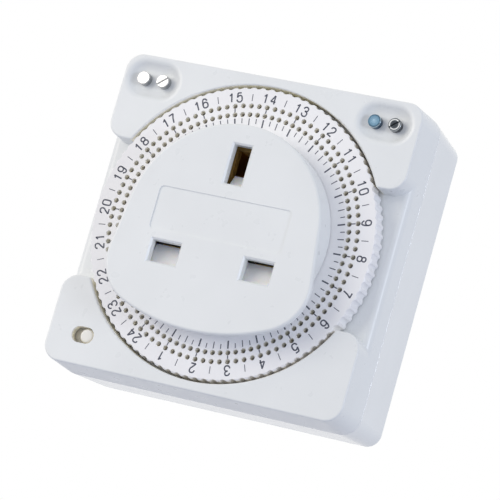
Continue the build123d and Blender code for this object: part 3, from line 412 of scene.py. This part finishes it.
def phenolic_resin():
    """Contact carrier: pressed phenolic with a cloudy filler, ochre above; dark grey below is painted
    shade in the live and neutral ways.
    """
    material, tree, shader, place = new_material("pressed_phenolic", "#B08E4E", 0.45, IOR=1.6)
    cloud = add_node(tree, "TexNoise", {"Vector": place, "Scale": 1 / (1.5 * mm), "Detail": 3.0})
    ochre = add_node(tree, "Mix", {"Factor": cloud.outputs["Fac"], 6: linear("#A5833F"),
                                   7: linear("#C09C5C")}, data_type="RGBA")
    axes = add_node(tree, "SeparateXYZ", {"Vector": place})
    above = add_node(tree, "MapRange", {"Value": axes.outputs["Z"], "From Min": 0.0,
                                        "From Max": ochre_rise * mm})
    # Dark grey below the rise: painted shade in the live and neutral ways.
    skin = add_node(tree, "Mix", {"Factor": above.outputs["Result"], 6: linear("#56544F"),
                                  7: ochre.outputs[2]}, data_type="RGBA")
    tree.links.new(skin.outputs[2], shader.inputs["Base Color"])
    relief = add_node(tree, "Bump", {"Height": cloud.outputs["Fac"], "Distance": 0.02 * mm})
    tree.links.new(relief.outputs["Normal"], shader.inputs["Normal"])
    return material


def plated_head(name, node, rings, side, roughness):
    """Tappets: bright plated metal, with rings of colour from the middle of its head that are painted
    reflections and highlights.

    The rings are (radius in millimetres, colour) from the middle outwards; the side is the colour
    round the head, under its rim, a painted shade that darkens it.
    round the head, under its rim, where the plating is dull.
    """
    material, tree, shader, place = new_material(name, rings[0][1], roughness, 1.0)
    low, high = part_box(node)
    middle = (low + high) / 2
    centred = add_node(tree, "Mapping", {
        "Vector": place,
        "Location": (-middle.x, 0.0, -middle.z),
        "Scale": (1.0, 0.0, 1.0),
    })
    radius = add_node(tree, "VectorMath", {0: centred.outputs["Vector"]}, operation="LENGTH")
    share = add_node(tree, "Math", {0: radius.outputs["Value"], 1: 1 / (rings[-1][0] * mm)},
                     operation="MULTIPLY")
    painted_reflections = add_node(tree, "ValToRGB", {"Fac": share.outputs["Value"]})
    ramp = painted_reflections.color_ramp.elements
    while len(ramp) < len(rings):
        ramp.new(0.5)
    for stop, (ring, colour) in zip(ramp, rings):
        stop.position = ring / rings[-1][0]
        stop.color = linear(colour)
    axes = add_node(tree, "SeparateXYZ", {"Vector": place})
    under = add_node(tree, "MapRange", {
        "Value": axes.outputs["Y"],
        "From Min": low.y + head_rim[0] * mm,
        "From Max": low.y + head_rim[1] * mm,
    })
    skin = add_node(tree, "Mix", {"Factor": under.outputs["Result"], 6: painted_reflections.outputs["Color"],
                                  7: linear(side)}, data_type="RGBA")
    tree.links.new(skin.outputs[2], shader.inputs["Base Color"])
    wave = add_node(tree, "TexNoise", {"Vector": place, "Scale": 1 / (0.5 * mm), "Detail": 1.0})
    relief = add_node(tree, "Bump", {"Height": wave.outputs["Fac"], "Distance": 0.02 * mm})
    tree.links.new(relief.outputs["Normal"], shader.inputs["Normal"])
    return material


def scale_ink():
    """Printed scale: pad-printed slate ink, slightly uneven in density."""
    material, tree, shader, place = new_material("pad_printed_ink", "#474B58", 0.5)
    density = add_node(tree, "TexNoise", {"Vector": place, "Scale": 1 / (0.3 * mm), "Detail": 3.0})
    skin = add_node(tree, "Mix", {"Factor": density.outputs["Fac"], 6: linear("#383C48"),
                                  7: linear("#585D6E")}, data_type="RGBA")
    tree.links.new(skin.outputs[2], shader.inputs["Base Color"])
    return material


def dress_nodes():
    """Gives every piece carried over from the frame its material, by the record's slots."""
    # Tappet heads: the ring lists are painted reflections and highlights, and each side colour below is
    # painted shade.
    blue = [(0.0, "#9DBACE"), (0.5, "#83A3BA"), (1.1, "#6C8EA6"), (1.35, "#314A5E"),
            (1.5, "#B4C6D2")]
    dark = [(0.0, "#2F3338"), (0.9, "#50555B"), (1.1, "#ECEEF0"), (1.3, "#34383D"),
            (1.5, "#A9AEB3")]
    pale = [(0.0, "#D4D4D4"), (0.5, "#E4E4E5"), (1.1, "#D8D8D9"), (1.35, "#E6E6E7"),
            (1.5, "#9A9B9D")]
    made = {
        "white_casing": casing_abs("moulded_white_abs", 0.3),
        "white_dial": dial_abs(),
        "white_shutter": shutter_acetal(),
        "grey_plastic": glass_filled_nylon(),
        "gear_plastic": gear_acetal(),
        "black_sleeve": sleeve_nylon(),
        "brass": drawn_metal("stamped_brass", "#CFAB66", "#BE9A58", 5.0, 0.3, 0.3),
        "bright_steel": drawn_metal("zinc_plated_steel", "#BFC3C7", "#A8ACB0", 1.5, 0.3, 0.4),
        "spring_steel": drawn_metal("drawn_spring_steel", "#9EA2A8", "#868A90", 0.8, 0.35, 0.2),
        "copper_coil": enamelled_winding(),
        "rotor_magnet": ferrite(),
        "blue_tappet": plated_head("blued_steel", "tappet_dark_plain", blue, "#3F5A70", 0.16),
        "dark_tappet": plated_head("dark_nickel", "tappet_dark_slotted", dark, "#5A5E62", 0.2),
    }
    own = {
        "rear_cover": casing_abs("polished_white_abs", 0.12),
        "contact_carrier": phenolic_resin(),
        "tappet_pale_plain": plated_head("satin_silver", "tappet_pale_plain", pale, "#A9ABAD", 0.25),
        "tappet_pale_slotted": plated_head("satin_silver_slotted", "tappet_pale_slotted", pale,
                                           "#A9ABAD", 0.25),
    }
    for part in frame["record"]["subparts"]:
        node = part["node"]
        mesh = frame["nodes"][node].data
        mesh.materials.clear()
        mesh.materials.append(own[node] if node in own else made[part["material_slot"]])


# ---------------------------------------------------------------- printed scale

def hour_angle(step):
    """Angle of a scale step, counter-clockwise as the front is seen; the hours also run that way."""
    return math.radians(90 + (step / steps_per_hour - top_hour) * 360 / hours)


def on_dial(radius, angle, depth=0.0):
    """Matrix that puts a flat XY drawing on the dial: its +Y points outwards, its +Z to the front."""
    flat_to_front = Matrix.Rotation(math.radians(90), 4, "X")
    turn = Matrix.Rotation(-(angle - math.radians(90)), 4, "Y")
    place = Matrix.Translation((0, plateau_y + depth * mm, 0))
    return place @ turn @ flat_to_front @ Matrix.Translation((0, radius * mm, 0))


def printed_piece(name, build, material):
    """Printed marks, filled in by a builder, that ride on the dial."""
    shape = bmesh.new()
    build(shape)
    bmesh.ops.recalc_face_normals(shape, faces=shape.faces)
    mesh = bpy.data.meshes.new(name)
    shape.to_mesh(mesh)
    shape.free()
    mesh.materials.append(material)
    piece = bpy.data.objects.new(name, mesh)
    bpy.context.scene.collection.objects.link(piece)
    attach(piece, "dial")


def add_tick(shape, angle, start, end, width, start_depth=0.0, end_depth=0.0):
    """Thin printed line between two radii; the depths let it lie on a sloped face."""
    length = end - start
    fall = end_depth - start_depth
    tilt = Matrix.Rotation(math.atan2(-fall, length), 4, "X")
    middle = on_dial((start + end) / 2, angle, (start_depth + end_depth) / 2)
    size = Matrix.Diagonal((width * mm, math.hypot(length, fall) * mm, 2 * ink_height * mm, 1))
    bmesh.ops.create_cube(shape, size=1.0, matrix=middle @ tilt @ size)


def bezel_depth(radius):
    """Depth of the dial's sunk bezel at a radius."""
    return bezel_drop * (bezel_outer - radius) / (bezel_outer - bezel_inner)


def scale_ticks(shape):
    """All the lines of the scale: half-hour ticks, links between holes and the bezel's ticks."""
    for step in range(steps):
        angle = hour_angle(step)
        within = step % steps_per_hour
        kind = "hour" if within == 0 else "half" if within == steps_per_hour // 2 else "quarter"
        if kind == "hour":
            add_tick(shape, angle, *hole_link)
        if kind == "half":
            add_tick(shape, angle, *half_tick)
        end, width = bezel_ends[kind]
        add_tick(shape, angle, bezel_start, end, width, bezel_depth(bezel_start), bezel_depth(end))


def digit_curve(digit, start):
    """Pen strokes of a digit, laid flat from a left edge in millimetres, as wide as the print."""
    curve = bpy.data.curves.new("digit", "CURVE")
    curve.dimensions = "3D"
    curve.bevel_depth = digit_stroke / 2 * mm
    curve.bevel_resolution = 1
    curve.resolution_u = 5
    curve.use_fill_caps = True
    wide = digit_width - digit_stroke
    high = digit_height - digit_stroke
    for kind, *points in digit_strokes[digit]:
        runs = zip(points, points[1:]) if kind == "line" else [points]
        for run in runs:
            stroke = curve.splines.new("POLY" if kind == "line" else "NURBS")
            stroke.points.add(len(run) - 1)
            for point, (x, y) in zip(stroke.points, run):
                point.co = ((start + digit_stroke / 2 + x * wide) * mm, (y - 0.5) * high * mm, 0, 1)
            if kind != "line":
                stroke.order_u = 3
                stroke.use_cyclic_u = kind == "loop"
                stroke.use_endpoint_u = kind == "bow"
    return curve


def hour_numbers(shape):
    """The numbers 1 to 24, their tops outwards."""
    advance = digit_width + digit_gap
    flat = Matrix.Diagonal((1, 1, 2 * ink_height / digit_stroke, 1))
    for hour in range(1, hours + 1):
        digits = str(hour)
        start = -(advance * len(digits) - digit_gap) / 2
        for place, digit in enumerate(digits):
            curve = digit_curve(digit, start + place * advance)
            drawing = bpy.data.objects.new("digit", curve)
            bpy.context.scene.collection.objects.link(drawing)
            graph = bpy.context.evaluated_depsgraph_get()
            print_mesh = bpy.data.meshes.new_from_object(drawing.evaluated_get(graph))
            print_mesh.transform(on_dial(number_radius, hour_angle(hour * steps_per_hour)) @ flat)
            shape.from_mesh(print_mesh)
            bpy.data.objects.remove(drawing)
            bpy.data.meshes.remove(print_mesh)


def printed_scale():
    """The dial's printed marks."""
    ink = scale_ink()
    printed_piece("hour_numbers", hour_numbers, ink)
    printed_piece("scale_ticks", scale_ticks, ink)


# ---------------------------------------------------------------- shutter spring

def shutter_spring_coil():
    """The shutter's spring, drawn again as a piece of its own, its copied mesh with doubled points
    merged, riding with the case.
    """
    mesh = frame["nodes"]["shutter_spring"].data.copy()
    shape = bmesh.new()
    shape.from_mesh(mesh)
    bmesh.ops.remove_doubles(shape, verts=shape.verts, dist=merge_distance * mm)
    shape.to_mesh(mesh)
    shape.free()
    coil = bpy.data.objects.new("shutter_spring_coil", mesh)
    bpy.context.scene.collection.objects.link(coil)
    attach(coil, "case")
    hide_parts("shutter_spring")
    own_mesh(coil)


# ---------------------------------------------------------------- floor, light and camera

def studio_floor():
    """Pale floor under the part, seen only from above, so that it never hides or darkens the part."""
    shape = bmesh.new()
    level = Matrix.Translation((0, 0, body_bottom - floor_gap * mm))
    bmesh.ops.create_grid(shape, x_segments=1, y_segments=1, size=floor_size, matrix=level)
    mesh = bpy.data.meshes.new("studio_floor")
    shape.to_mesh(mesh)
    shape.free()
    floor = bpy.data.objects.new("studio_floor", mesh)
    bpy.context.scene.collection.objects.link(floor)
    material = bpy.data.materials.new("white_paper_sweep")
    material.use_nodes = True
    tree = material.node_tree
    shader = tree.nodes["Principled BSDF"]
    shader.inputs["Base Color"].default_value = linear("#F4F5F6")
    shader.inputs["Roughness"].default_value = 0.9
    rays = add_node(tree, "LightPath")
    side = add_node(tree, "NewGeometry")
    above = add_node(tree, "Math", {0: 1.0, 1: side.outputs["Backfacing"]}, operation="SUBTRACT")
    shown = add_node(tree, "Math", {0: rays.outputs["Is Camera Ray"], 1: above.outputs["Value"]},
                     operation="MULTIPLY")
    clear = add_node(tree, "BsdfTransparent")
    paper = add_node(tree, "MixShader", {0: shown.outputs["Value"], 1: clear.outputs["BSDF"],
                                         2: shader.outputs["BSDF"]})
    tree.links.new(paper.outputs["Shader"], tree.nodes["Material Output"].inputs["Surface"])
    mesh.materials.append(material)


def white_world():
    """Soft cool light from all sides, behind a white background that gloss and glass see too."""
    world = bpy.data.worlds.new("studio")
    bpy.context.scene.world = world
    world.use_nodes = True
    tree = world.node_tree
    ambient = tree.nodes["Background"]
    direction = add_node(tree, "TexCoord")
    axes = add_node(tree, "SeparateXYZ", {"Vector": direction.outputs["Generated"]})
    height = add_node(tree, "MapRange", {"Value": axes.outputs["Z"], "From Min": ambient_rise[0],
                                         "From Max": ambient_rise[1]})
    colour = add_node(tree, "Mix", {"Factor": height.outputs["Result"], 6: linear(ambient_below),
                                    7: linear(ambient_above)}, data_type="RGBA")
    tree.links.new(colour.outputs[2], ambient.inputs["Color"])
    white = add_node(tree, "Background", {"Color": (1, 1, 1, 1), "Strength": 1.0})
    rays = add_node(tree, "LightPath")
    sharp = add_node(tree, "Math", {0: rays.outputs["Is Glossy Ray"],
                                    1: rays.outputs["Is Transmission Ray"]}, operation="MAXIMUM")
    seen = add_node(tree, "Math", {0: rays.outputs["Is Camera Ray"], 1: sharp.outputs["Value"]},
                    operation="MAXIMUM")
    mixed = add_node(tree, "MixShader", {0: seen.outputs["Value"], 1: ambient.outputs["Background"],
                                         2: white.outputs["Background"]})
    tree.links.new(mixed.outputs["Shader"], tree.nodes["World Output"].inputs["Surface"])


def softbox(name, place, size, level, colour):
    """Square area light on the front; the level is what it adds to a white card that faces it."""
    aim = Vector((0, plateau_y, 0))
    light = bpy.data.lights.new(name, "AREA")
    light.size = size
    light.color = linear(colour)[:3]
    light.energy = level * (math.pi * (Vector(place) - aim).length) ** 2
    lamp = bpy.data.objects.new(name, light)
    bpy.context.scene.collection.objects.link(lamp)
    lamp.location = place
    lamp.rotation_mode = "QUATERNION"
    lamp.rotation_quaternion = (aim - Vector(place)).to_track_quat("-Z", "Y")


def studio_light():
    """Main softbox at the left and a weak cool one at the right."""
    softbox("key_softbox", (-1.25, -1.15, 0.35), size=1.2, level=0.48, colour="#FFF8EB")
    softbox("right_softbox", (1.38, -0.62, 0.12), size=0.45, level=0.25, colour="#E9F1FF")


def studio_camera():
    """Camera at the right, below the middle of the dial, rolled to the left."""
    camera = bpy.data.cameras.new("camera")
    camera.lens = camera_lens
    camera.sensor_width = camera_sensor
    camera.clip_start = 0.01
    camera.clip_end = 20.0
    view = bpy.data.objects.new("camera", camera)
    bpy.context.scene.collection.objects.link(view)
    view.location = camera_place
    view.rotation_mode = "QUATERNION"
    facing = (camera_aim - camera_place).to_track_quat("-Z", "Y")
    view.rotation_quaternion = facing @ Quaternion((0, 0, 1), camera_roll)
    bpy.context.scene.camera = view


dress_nodes()
printed_scale()
shutter_spring_coil()
studio_floor()
white_world()
studio_light()
studio_camera()
bpy.context.scene.view_settings.view_transform = "Standard"
